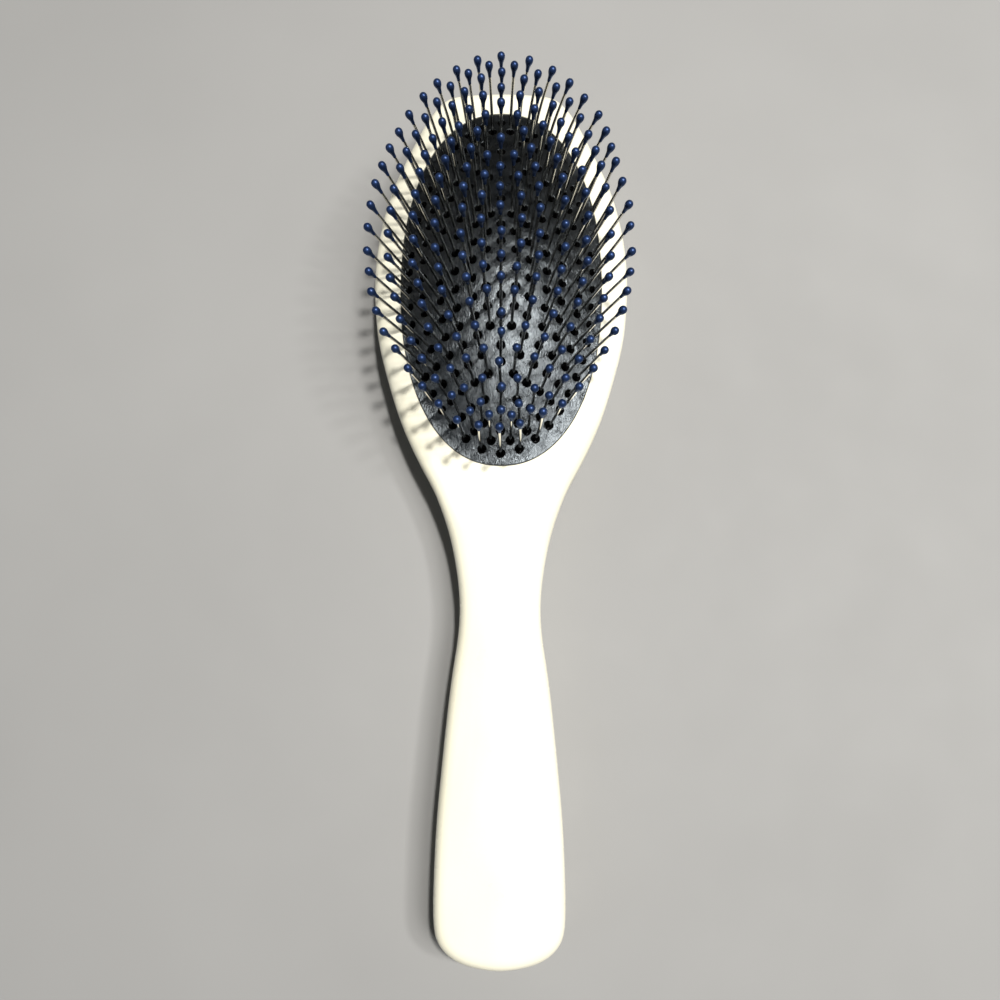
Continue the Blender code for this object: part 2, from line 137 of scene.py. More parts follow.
def brush_outline(count):
    """count points and outward normals round the outline, from the head tip down the +X side."""
    right = [(w, LENGTH / 2 - d) for w, d in OUTLINE]
    left = [(-w, y) for w, y in right[-2:0:-1]]
    curve = spline(right + left)
    half = curve[: len(curve) // 2 + 1].copy()
    half[0, 0] = half[-1, 0] = 0.0
    step = np.linalg.norm(np.diff(half, axis=0), axis=1)
    s = np.concatenate([[0], np.cumsum(step)])
    even = np.linspace(0, s[-1], 1601)
    x, y = np.interp(even, s, half[:, 0]), np.interp(even, s, half[:, 1])
    dx, dy = np.gradient(x, even), np.gradient(y, even)
    dx[0] = dx[-1] = np.sign(x[800])
    dx[-1] = -dx[-1]
    dy[0] = dy[-1] = 0.0
    turn = np.abs(np.gradient(np.unwrap(np.arctan2(dy, dx)), even))
    turn = np.convolve(np.pad(turn, 20, mode="edge"), np.ones(41) / 41, mode="valid")
    density = turn + 1 / 45
    cumulative = np.concatenate([[0], np.cumsum((density[1:] + density[:-1]) / 2)])
    want = np.linspace(0, cumulative[-1], count // 2 + 1)
    at = np.interp(want, cumulative, even)
    px, py = np.interp(at, even, x), np.interp(at, even, y)
    tx, ty = np.interp(at, even, dx), np.interp(at, even, dy)
    size = np.hypot(tx, ty)
    nx, ny = -ty / size, tx / size
    right_p, right_n = np.stack([px, py], 1), np.stack([nx, ny], 1)
    flip = np.array([-1.0, 1.0])
    points = np.concatenate([right_p, (right_p * flip)[-2:0:-1]])
    normals = np.concatenate([right_n, (right_n * flip)[-2:0:-1]])
    return points, normals


def oval(a, b, e, count, first=0.0):
    t = np.linspace(0, 2 * math.pi, 2881)
    x = a * np.sign(np.sin(t)) * np.abs(np.sin(t)) ** e
    y = b * np.sign(np.cos(t)) * np.abs(np.cos(t)) ** e
    s = np.concatenate([[0], np.cumsum(np.hypot(np.diff(x), np.diff(y)))])
    at = (np.arange(count) + first) / count * s[-1]
    return np.stack([np.interp(at, s, x), np.interp(at, s, y)], 1)


def opening(outside, count):
    return oval(OPENING_A + outside, OPENING_B + outside, OPENING_E, count) + np.array([0, OPENING_Y])


def dome(x, y):
    r2 = (x / OPENING_A) ** 2 + (y / OPENING_B) ** 2
    return FRONT_Z + DOME_Z0 + DOME_H * np.clip(1.0 - r2, 0.0, None) ** DOME_Q


def back_z(y):
    low, high = ARCH_Y
    y = np.asarray(y, float)
    inside = (y > low) & (y < high)
    return np.where(inside, ARCH_RISE * np.sin(np.pi * (y - low) / (high - low)) ** 2, 0.0)


def lean(x, y):
    u, w = x / OPENING_A, y / OPENING_B
    v = np.array([
        SPLAY_X * math.copysign(abs(u) ** SPLAY_X_P, u),
        SPLAY_Y * math.copysign(abs(w) ** SPLAY_Y_P, w),
        1.0,
    ])
    return v / np.linalg.norm(v)


def pin_rows():
    rows = []
    for number, (count, a, b, e, arcs) in enumerate(RINGS, 1):
        ring = oval(a, b, e, count, 0.5 if number == 2 else 0.0)
        right, left = ring[: count // 2], ring[count // 2:]
        for side, half in (("right", right), ("left", left)):
            for k, arc in enumerate(np.array_split(half, arcs), 1):
                rows.append((f"pins_ring{number}_{side}_{k}", arc))
    ys = np.linspace(INNER_B, -INNER_B, INNER_PAIRS)
    side = [(INNER_A * math.sqrt(1 - (y / (INNER_END + 0.9)) ** 2), y) for y in ys]
    right = [(0.0, INNER_END)] + side
    left = [(0.0, LONE_Y), (0.0, -INNER_END)] + [(-x, y) for x, y in side[::-1]]
    for name, half in (("right", right), ("left", left)):
        for k, arc in enumerate(np.array_split(np.array(half), 2), 1):
            rows.append((f"pins_ring6_{name}_{k}", arc))
    line = [(0.0, (i - (LINE_PINS - 1) / 2) * LINE_PITCH) for i in range(LINE_PINS)]
    rows.append(("pins_middle_line", np.array(line[::-1])))
    return rows


ROWS = pin_rows()


# ------------------------------------------------------------------ materials
class Nodes:
    """Short calls for building one material."""

    def __init__(self, name):
        self.material = bpy.data.materials.new(name)
        self.material.use_nodes = True
        self.tree = self.material.node_tree
        self.shader = self.tree.nodes["Principled BSDF"]

    def add(self, kind, **settings):
        node = self.tree.nodes.new(kind)
        for key, value in settings.items():
            if key in node.inputs:
                node.inputs[key].default_value = value
            else:
                setattr(node, key, value)
        return node

    def link(self, a, b):
        self.tree.links.new(a, b)

    def place(self, scale=(1, 1, 1), turn=(0, 0, 0)):
        """Object coordinates, stretched and turned."""
        where = self.add("ShaderNodeTexCoord")
        mapping = self.add("ShaderNodeMapping")
        mapping.inputs["Scale"].default_value = scale
        mapping.inputs["Rotation"].default_value = turn
        self.link(where.outputs["Object"], mapping.inputs["Vector"])
        return mapping.outputs["Vector"]

    def noise(self, vector, scale, detail=3.0, rough=0.55, distort=0.0):
        node = self.add("ShaderNodeTexNoise")
        node.inputs["Scale"].default_value = scale
        node.inputs["Detail"].default_value = detail
        node.inputs["Roughness"].default_value = rough
        node.inputs["Distortion"].default_value = distort
        self.link(vector, node.inputs["Vector"])
        return node.outputs["Fac"]

    def ramp(self, value, stops):
        node = self.add("ShaderNodeValToRGB")
        elements = node.color_ramp.elements
        while len(elements) < len(stops):
            elements.new(0.5)
        for element, (at, colour) in zip(elements, stops):
            element.position = at
            element.color = (*colour, 1) if len(colour) == 3 else colour
        self.link(value, node.inputs["Fac"])
        return node.outputs["Color"]

    def span(self, value, low, high, to_low, to_high):
        node = self.add("ShaderNodeMapRange")
        for key, number in (("From Min", low), ("From Max", high), ("To Min", to_low), ("To Max", to_high)):
            node.inputs[key].default_value = number
        self.link(value, node.inputs["Value"])
        return node.outputs["Result"]

    def maths(self, operation, a, b):
        node = self.add("ShaderNodeMath", operation=operation)
        for socket, value in zip(node.inputs, (a, b)):
            if isinstance(value, (int, float)):
                socket.default_value = value
            else:
                self.link(value, socket)
        return node.outputs[0]

    def mix(self, factor, a, b, blend="MIX"):
        node = self.add("ShaderNodeMix", data_type="RGBA", blend_type=blend)
        if isinstance(factor, (int, float)):
            node.inputs[0].default_value = factor
        else:
            self.link(factor, node.inputs[0])
        for socket, value in ((node.inputs[6], a), (node.inputs[7], b)):
            if isinstance(value, tuple):
                socket.default_value = (*value, 1)
            else:
                self.link(value, socket)
        return node.outputs[2]

    def attribute(self, name):
        node = self.add("ShaderNodeAttribute")
        node.attribute_name = name
        return node.outputs["Fac"]

    def bump(self, height, strength, distance, under=None):
        node = self.add("ShaderNodeBump")
        node.inputs["Strength"].default_value = strength
        node.inputs["Distance"].default_value = distance
        self.link(height, node.inputs["Height"])
        if under is not None:
            self.link(under, node.inputs["Normal"])
        return node.outputs["Normal"]

    def set(self, **values):
        for key, value in values.items():
            socket = self.shader.inputs[key.replace("_", " ")]
            if isinstance(value, (int, float)):
                socket.default_value = value
            elif isinstance(value, tuple):
                socket.default_value = (*value, 1) if len(value) == 3 else value
            else:
                self.link(value, socket)
        return self.material


def white_plastic():
    """Moulded cream-white plastic: slow shifts of tint, faint flow lines, fine scuffs, a polished edge."""
    n = Nodes("white_plastic")
    here = n.place()
    tint = n.ramp(n.noise(here, 22, 2), [(0.3, (0.81, 0.775, 0.605)), (0.7, (0.86, 0.832, 0.690))])
    flow = n.noise(n.place(scale=(1.0, 0.22, 1.0)), 60, 4, 0.6, 0.6)
    tint = n.mix(n.span(flow, 0.35, 0.75, 0.0, 0.35), tint, (0.87, 0.852, 0.750))
    grime = n.attribute("seam")
    spots = n.noise(here, 900, 3)
    tint = n.mix(n.maths("MULTIPLY", grime, n.span(spots, 0.4, 0.75, 0.1, 0.5)), tint, (0.42, 0.38, 0.31))
    scuff = n.noise(n.place(scale=(1.0, 0.04, 1.0), turn=(0, 0, 0.5)), 1500, 2, 0.5)
    scuff2 = n.noise(n.place(scale=(0.05, 1.0, 1.0), turn=(0, 0, -0.35)), 1200, 2, 0.5)
    lines = n.maths("MAXIMUM", n.span(scuff, 0.66, 0.74, 0.0, 1.0), n.span(scuff2, 0.67, 0.76, 0.0, 1.0))
    rough = n.maths("ADD", n.span(n.noise(here, 130, 3), 0.3, 0.7, 0.27, 0.36), n.maths("MULTIPLY", lines, 0.10))
    rough = n.maths("SUBTRACT", rough, n.maths("MULTIPLY", n.attribute("edge"), 0.06))
    skin = n.bump(n.noise(here, 700, 2, 0.5), 0.05, 0.0003)
    normal = n.bump(lines, 0.05, 0.0001, skin)
    return n.set(Base_Color=tint, Roughness=rough, Normal=normal, IOR=1.49, Coat_Weight=0.12, Coat_Roughness=0.2)


def black_rubber():
    """Thin black rubber: fine lengthwise grain and wrinkles, a cool satin sheen that comes and goes in patches."""
    n = Nodes("black_rubber")
    here = n.place()
    grain = n.noise(n.place(scale=(1.0, 0.30, 1.0), turn=(0, 0, 0.12)), 2900, 2, 0.6, 0.4)
    wrinkle = n.noise(n.place(scale=(1.0, 0.30, 1.0), turn=(0, 0, 0.22)), 1900, 3, 0.66, 0.6)
    cloud = n.noise(here, 260, 4, 0.65, 0.5)
    base = n.ramp(cloud, [(0.3, (0.0006, 0.0007, 0.0008)), (0.72, (0.0012, 0.0014, 0.0018))])
    base = n.mix(n.span(grain, 0.5, 0.78, 0.0, 0.5), base, (0.003, 0.0034, 0.0042))
    rough = n.maths("ADD", n.span(grain, 0.3, 0.72, 0.38, 0.245), n.span(cloud, 0.3, 0.7, -0.03, 0.05))
    rough = n.maths("ADD", rough, n.maths("MULTIPLY", n.attribute("pit"), 0.3))
    swell = n.bump(n.noise(here, 330, 3, 0.6, 0.7), 0.07, 0.0005)
    folds = n.bump(wrinkle, 0.66, 0.00018, swell)
    normal = n.bump(grain, 0.85, 0.00017, folds)
    return n.set(Base_Color=base, Roughness=rough, Normal=normal, IOR=1.82, Specular_Tint=(0.84, 0.93, 1.0))


def rubber_hole_shade():
    """The same rubber down in the dimples, with its shine cut nearly away and roughened: painted shade, so the holes
    read black where no light comes back out.
    """
    n = Nodes("rubber_hole_shade")
    base = n.ramp(n.noise(n.place(), 1800, 2), [(0.3, (0.0010, 0.0010, 0.0012)), (0.7, (0.0018, 0.0018, 0.0020))])
    rough = n.span(n.noise(n.place(), 900, 2), 0.3, 0.7, 0.75, 0.9)
    return n.set(Base_Color=base, Roughness=rough, IOR=1.5, Specular_IOR_Level=0.08)


def navy_coating():
    """Dipped navy coating: a dark pearl blue, glossy, a little uneven in colour and thickness."""
    n = Nodes("navy_coating")
    here = n.place()
    base = n.ramp(n.noise(here, 380, 3), [(0.3, (0.0175, 0.036, 0.102)), (0.7, (0.0270, 0.053, 0.142))])
    specks = n.span(n.noise(here, 2600, 2), 0.66, 0.74, 0.0, 0.4)
    base = n.mix(specks, base, (0.05, 0.09, 0.22))
    rough = n.span(n.noise(here, 900, 2), 0.3, 0.7, 0.36, 0.45)
    normal = n.bump(n.noise(here, 1300, 2), 0.12, 0.0001)
    return n.set(
        Base_Color=base, Roughness=rough, Normal=normal, Metallic=0.62, IOR=1.42, Specular_Tint=(0.38, 0.47, 0.68),
        Coat_Weight=0.12, Coat_Roughness=0.13, Coat_IOR=1.45,
    )


def steel_wire():
    """Drawn steel wire: mirror-like, with faint lengthwise die lines. Its colour is dark low down and bright near the
    tip, painted reflection so the wires read black over the rubber and glint near their tips; the head under the
    rubber is painted near black as painted shade.
    """
    n = Nodes("steel_wire")
    here = n.place()
    base = n.ramp(n.noise(here, 260, 3), [(0.3, (0.15, 0.145, 0.135)), (0.7, (0.21, 0.203, 0.19))])
    bright = n.ramp(n.noise(here, 260, 3), [(0.3, (0.60, 0.585, 0.555)), (0.7, (0.70, 0.685, 0.655))])
    # the upper wire turns bright: painted reflection, so the wires glint near their tips and stay dark lower down
    base = n.mix(n.attribute("tip_glint"), base, bright)
    stain = n.span(n.noise(here, 900, 2), 0.60, 0.72, 0.0, 0.30)
    base = n.mix(stain, base, (0.20, 0.18, 0.155))
    # the head under the rubber and the wire's foot are painted near black: painted shade that hides their glint down
    # in the holes
    base = n.mix(n.attribute("head_shade"), base, (0.012, 0.012, 0.012))
    die = n.noise(n.place(scale=(1.0, 1.0, 0.05)), 5200, 2)
    rough = n.span(die, 0.3, 0.7, 0.03, 0.08)
    return n.set(Base_Color=base, Roughness=rough, Metallic=1.0)


def tray_plastic():
    """Plain grey inner moulding with a fine spark-eroded texture."""
    n = Nodes("tray_plastic")
    here = n.place()
    base = n.ramp(n.noise(here, 60, 3), [(0.3, (0.30, 0.30, 0.29)), (0.7, (0.38, 0.38, 0.37))])
    rough = n.span(n.noise(here, 800, 2), 0.3, 0.7, 0.48, 0.62)
    normal = n.bump(n.noise(here, 2400, 2), 0.2, 0.0001)
    return n.set(Base_Color=base, Roughness=rough, Normal=normal)


def floor_paint():
    n = Nodes("floor_paint")
    here = n.place()
    base = n.ramp(n.noise(here, 9, 3), [(0.3, (0.292, 0.290, 0.285)), (0.7, (0.315, 0.313, 0.308))])
    rough = n.span(n.noise(here, 40, 2), 0.3, 0.7, 0.75, 0.88)
    return n.set(Base_Color=base, Roughness=rough)


WHITE = white_plastic()
BLACK = black_rubber()
HOLE_SHADE = rubber_hole_shade()
NAVY = navy_coating()
STEEL = steel_wire()
GREY = tray_plastic()


# ------------------------------------------------------------------ meshes
class Mesh:
    """Loops of points, the faces between them, and one number per point for each named mask."""

    def __init__(self):
        self.co, self.faces, self.masks = [], [], {}

    def loop(self, points, z, **masks):
        zs = np.broadcast_to(np.asarray(z, float), (len(points),))
        first = len(self.co)
        self.co += [(p[0], p[1], h) for p, h in zip(points, zs)]
        ids = list(range(first, len(self.co)))
        for name, value in masks.items():
            values = np.broadcast_to(np.asarray(value, float), (len(points),))
            self.masks.setdefault(name, {}).update(zip(ids, values))
        return ids

    def bridge(self, a, b):
        n = len(a)
        self.faces += [(a[i], a[(i + 1) % n], b[(i + 1) % n], b[i]) for i in range(n)]

    def stack(self, loops):
        for a, b in zip(loops, loops[1:]):
            self.bridge(a, b)

    def ladder(self, loop):
        n = len(loop)
        self.faces.append((loop[0], loop[1], loop[n - 1]))
        for i in range(1, n // 2 - 1):
            self.faces.append((loop[i], loop[i + 1], loop[n - i - 1], loop[n - i]))
        self.faces.append((loop[n // 2 - 1], loop[n // 2], loop[n // 2 + 1]))

    def flat(self, outer, inners, extra=()):
        """Fills the space between an outer loop and inner ones, through extra points inside it."""
        ids = list(outer) + [i for loop in inners for i in loop] + list(extra)
        flat = [Vector(self.co[i][:2]) for i in ids]
        rings, at = [], 0
        for loop in [outer, *inners]:
            rings.append(list(range(at, at + len(loop))))
            at += len(loop)
        found = delaunay_2d_cdt(flat, [], rings, 1, 1e-7)
        crossed = [tuple(found[0][i]) for i, old in enumerate(found[3]) if not old]
        if crossed:
            raise ValueError(f"loops cross at {crossed[:6]}")
        owner = {}
        for k, ring in enumerate(rings[1:]):
            owner.update({i: k for i in ring})
        for triangle in found[2]:
            mine = [found[3][i][0] for i in triangle]
            groups = {owner.get(i) for i in mine}
            if len(groups) == 1 and None not in groups:
                continue
            self.faces.append(tuple(ids[i] for i in mine))

    def object(self, name, material, angle=38.0, smooth=True):
        bm = bmesh.new()
        verts = [bm.verts.new((x * MM, y * MM, z * MM)) for x, y, z in self.co]
        for face in self.faces:
            try:
                bm.faces.new([verts[i] for i in face])
            except ValueError:
                pass
        bmesh.ops.recalc_face_normals(bm, faces=bm.faces)
        mesh = bpy.data.meshes.new(name)
        bm.to_mesh(mesh)
        bm.free()
        for mask, values in self.masks.items():
            layer = mesh.attributes.new(mask, "FLOAT", "POINT")
            full = np.zeros(len(self.co), np.float32)
            full[list(values)] = list(values.values())
            layer.data.foreach_set("value", full)
        made = bpy.data.objects.new(name, mesh)
        SCENE.collection.objects.link(made)
        if smooth:
            mesh.shade_smooth()
            mesh.set_sharp_from_angle(angle=math.radians(angle))
        mesh.materials.append(material)
        return made


def circle(x, y, r, count):
    t = np.arange(count) / count * 2 * math.pi
    return np.stack([x + r * np.sin(t), y + r * np.cos(t)], 1)


# ------------------------------------------------------------------ the two shells
def camber(points):
    """How far the handle's face falls away towards its sides, beyond the arc where the flat frame ends."""
    points = np.asarray(points, float)
    outline, _ = brush_outline(800)
    half = np.interp(-points[:, 1], -outline[:401, 1], outline[:401, 0])
    share = np.clip(np.abs(points[:, 0]) / np.maximum(half, 4.0), 0, 1)
    away = np.hypot(points[:, 0] / (OPENING_A + 10.0), (points[:, 1] - OPENING_Y) / (OPENING_B + 13.0))
    start = np.clip((away - 1.0) * (OPENING_B + 13.0) / 11.0, 0, 1) * (points[:, 1] < 20)
    start = start * start * (3 - 2 * start)
    return 0.80 * start * share**2


def roll(steps, reach, fall):
    """A rounding whose curve eases in and out: (inset, height under the face) from the side wall to the face."""
    t = np.linspace(0, 1, 401)
    turn = math.pi / 2 * (1 - (3 * t**2 - 2 * t**3))
    x = np.concatenate([[0], np.cumsum((np.cos(turn[1:]) + np.cos(turn[:-1])) / 2)])
    z = np.concatenate([[0], np.cumsum((np.sin(turn[1:]) + np.sin(turn[:-1])) / 2)])
    at = np.linspace(0, 1, steps + 1)
    return list(zip(np.interp(at, t, x / x[-1] * reach), fall * (1 - np.interp(at, t, z / z[-1]))))


def within(points, ring):
    """Which points lie inside a closed ring."""
    inside = np.zeros(len(points), bool)
    for (x0, y0), (x1, y1) in zip(ring, np.roll(ring, -1, 0)):
        crosses = (y0 > points[:, 1]) != (y1 > points[:, 1])
        if y1 != y0:
            inside ^= crosses & (points[:, 0] < (x1 - x0) * (points[:, 1] - y0) / (y1 - y0) + x0)
    return inside


def clear_of(points, ring, gap):
    """Keeps the points that stay this far from a ring's own points."""
    near = np.full(len(points), 1e9)
    for part in np.array_split(ring, 8):
        near = np.minimum(near, ((points[:, None] - part) ** 2).sum(-1).min(1))
    return points[near > gap * gap]


def front_shell():
    count, ring = 440, 260
    outline, normal = brush_outline(count)
    mesh = Mesh()
    foot = PART_Z + SHELL_GAP / 2
    tongue = PART_Z - 0.75
    reach = EDGE_R + 0.6
    loops = [
        mesh.loop(outline - normal * 1.75, FRONT_Z - FRONT_WALL - 1.0),
        mesh.loop(outline - normal * 1.75, tongue),
        mesh.loop(outline - normal * 1.15, tongue),
        mesh.loop(outline - normal * 1.05, foot, seam=1.0),
        mesh.loop(outline - normal * 0.22, foot, seam=0.8, edge=0.6),
        mesh.loop(outline - normal * 0.06, foot + 0.06, seam=0.5, edge=1.0),
        mesh.loop(outline, foot + 0.24, edge=0.7),
        mesh.loop(outline, foot + 0.9),
        mesh.loop(outline, FRONT_Z - reach - 0.8),
    ]
    for inset, fall in roll(14, reach, reach - 0.2):
        points = outline - normal * inset
        loops.append(mesh.loop(points, FRONT_Z - fall - camber(points), edge=float(4 * (1 - fall / reach) * fall / reach)))
    mesh.stack(loops)
    under = FRONT_Z - FRONT_WALL
    ceiling = mesh.loop(outline - normal * 2.3, under - 0.9)
    mesh.bridge(ceiling, loops[0])
    lip = [
        mesh.loop(opening(0.30, ring), FRONT_Z),
        mesh.loop(opening(0.16, ring), FRONT_Z - 0.014, edge=0.6),
        mesh.loop(opening(0.06, ring), FRONT_Z - 0.065, edge=1.0, seam=0.1),
        mesh.loop(opening(0.01, ring), FRONT_Z - 0.16, edge=0.6, seam=0.3),
        mesh.loop(opening(0.0, ring), FRONT_Z - 0.30, edge=0.2, seam=0.5),
        mesh.loop(opening(0.0, ring), under - 0.1, seam=1.0),
        mesh.loop(opening(LIP_RIB[0], ring), under - 0.1),
        mesh.loop(opening(LIP_RIB[0], ring), FRONT_Z + LIP_RIB_Z),
        mesh.loop(opening(LIP_RIB[1], ring), FRONT_Z + LIP_RIB_Z),
        mesh.loop(opening(LIP_RIB[1], ring), under - 0.9),
    ]
    mesh.stack(lip)
    # a field of points across the face carries the handle's camber
    field = np.array([
        (x + (1.0 if j % 2 else 0.0), y)
        for j, y in enumerate(np.arange(-LENGTH / 2, LENGTH / 2, 1.75))
        for x in np.arange(-36.0, 36.0, 2.0)
    ])
    last, hole = outline - normal * reach, opening(0.30, ring)
    field = field[within(field, last) & ~within(field, hole)]
    field = clear_of(clear_of(field, last, 0.9), hole, 0.9)
    inner = mesh.loop(field, FRONT_Z - camber(field))
    mesh.flat(loops[-1], [lip[0]], inner)
    mesh.flat(ceiling, [lip[-1]])
    for y in DOWELS_Y:
        tube = [
            mesh.loop(circle(0, y, r, 32), z)
            for r, z in (
                (SOCKET_R, under - 0.8), (SOCKET_R, PART_Z + 0.8), (SOCKET_R - 0.2, PART_Z + 0.6),
                (SOCKET_BORE + 0.2, PART_Z + 0.6), (SOCKET_BORE, PART_Z + 0.8), (SOCKET_BORE, FRONT_Z - 2.8),
            )
        ]
        mesh.stack(tube)
        mesh.faces += [tuple(tube[0]), tuple(tube[-1])]
    return mesh.object("front_shell_moulding", WHITE)


def back_shell():
    count = 360
    outline, normal = brush_outline(count)
    mesh = Mesh()
    top = PART_Z - SHELL_GAP / 2

    def flank(curve, start, thickness, steps, first=0, **masks):
        half = np.abs(curve[:, 1]).max()
        span = 2 * half - (LAND_TOP + LAND_END) * half / (LENGTH / 2)
        middle = (LAND_END - LAND_TOP) / 2
        loops = []
        for k in range(first, steps + 1):
            turn = k / steps * math.pi / 2
            u = 1 - math.cos(turn) ** (2 / BACK_FULLNESS)
            fall = math.sin(turn) ** (2 / BACK_FULLNESS)
            x = curve[:, 0] * (1 - u * (1 - LAND_X))
            y = curve[:, 1] * (1 - u) + u * (curve[:, 1] / (2 * half) * span + middle)
            z = start - fall * (start - thickness - back_z(y))
            loops.append(mesh.loop(np.stack([x, y], 1), z, **masks))
        return loops

    outer = [
        mesh.loop(outline - normal * 0.18, top, edge=0.6),
        mesh.loop(outline - normal * 0.05, top - 0.07, edge=0.8),
    ] + flank(outline, top - 0.2, 0.0, 20)
    groove = [
        mesh.loop(outline - normal * 0.95, top),
        mesh.loop(outline - normal * 1.0, top - 0.95),
    ]
    inner = flank(outline - normal * WALL, top - 0.95, BACK_WALL, 12)
    mesh.stack(outer)
    mesh.stack([outer[0], *groove, inner[0]])
    mesh.stack(inner)
    mesh.ladder(outer[-1])
    mesh.ladder(inner[-1])
    tray_under = FRONT_Z + TRAY_FLOOR_Z[1] - 0.3
    posts = [(x, OPENING_Y + y, POST_R, tray_under) for x, y in POSTS]
    posts += [(0, y, DOWEL_R, 12.6) for y in DOWELS_Y]
    for x, y, r, high in posts:
        low = float(back_z(y)) + 0.9
        made = [
            mesh.loop(circle(x, y, s, 28), z)
            for s, z in ((r, low), (r, high - 0.25), (r - 0.07, high - 0.07), (r - 0.25, high))
        ]
        mesh.stack(made)
        mesh.faces += [tuple(made[0]), tuple(made[-1])]
    return mesh.object("back_shell_moulding", WHITE)


# ------------------------------------------------------------------ the cushion
WAVES = random.Random(41)
WAVE_TABLE = [
    (WAVES.uniform(0.08, 0.45), WAVES.uniform(0, 2 * math.pi), WAVES.uniform(0, 2 * math.pi), WAVES.uniform(0.4, 1.0))
    for _ in range(26)
]
ALL_PINS = np.concatenate([places for _, places in ROWS])


def skin(x, y):
    """The rubber's real surface: the dome, drawn down a little round each pin and never quite even."""
    x, y = np.asarray(x, float), np.asarray(y, float)
    z = dome(x, y)
    edge = np.clip((1.0 - (x / OPENING_A) ** 2 - (y / OPENING_B) ** 2) * 6.0, 0.0, 1.0)
    ripple = np.zeros_like(z)
    for per_mm, way, phase, size in WAVE_TABLE:
        ripple += size * np.sin(per_mm * 2 * math.pi * 0.55 * (x * math.cos(way) + y * math.sin(way)) + phase)
    ripple *= 0.016
    d2 = (x[..., None] - ALL_PINS[:, 0]) ** 2 + (y[..., None] - ALL_PINS[:, 1]) ** 2
    pull = np.exp(-d2 / 2.9).sum(-1)
    return z + edge * (ripple - 0.26 * pull + 0.12)


def hole_frames():
    """For each pin: its place, its lean and two directions square to the lean."""
    made = []
    for _, places in ROWS:
        for x, y in places:
            v = lean(x, y)
            one = np.cross(v, np.array([0, 1.0, 0]))
            one /= np.linalg.norm(one)
            made.append(((x, y), v, one, np.cross(v, one)))
    return made


def meet(points, v, surface):
    """Slides each point along v until it meets the surface."""
    p = points.copy()
    for _ in range(10):
        p -= v * ((p[:, 2] - surface(p[:, 0], p[:, 1])) / v[2])[:, None]
    return p


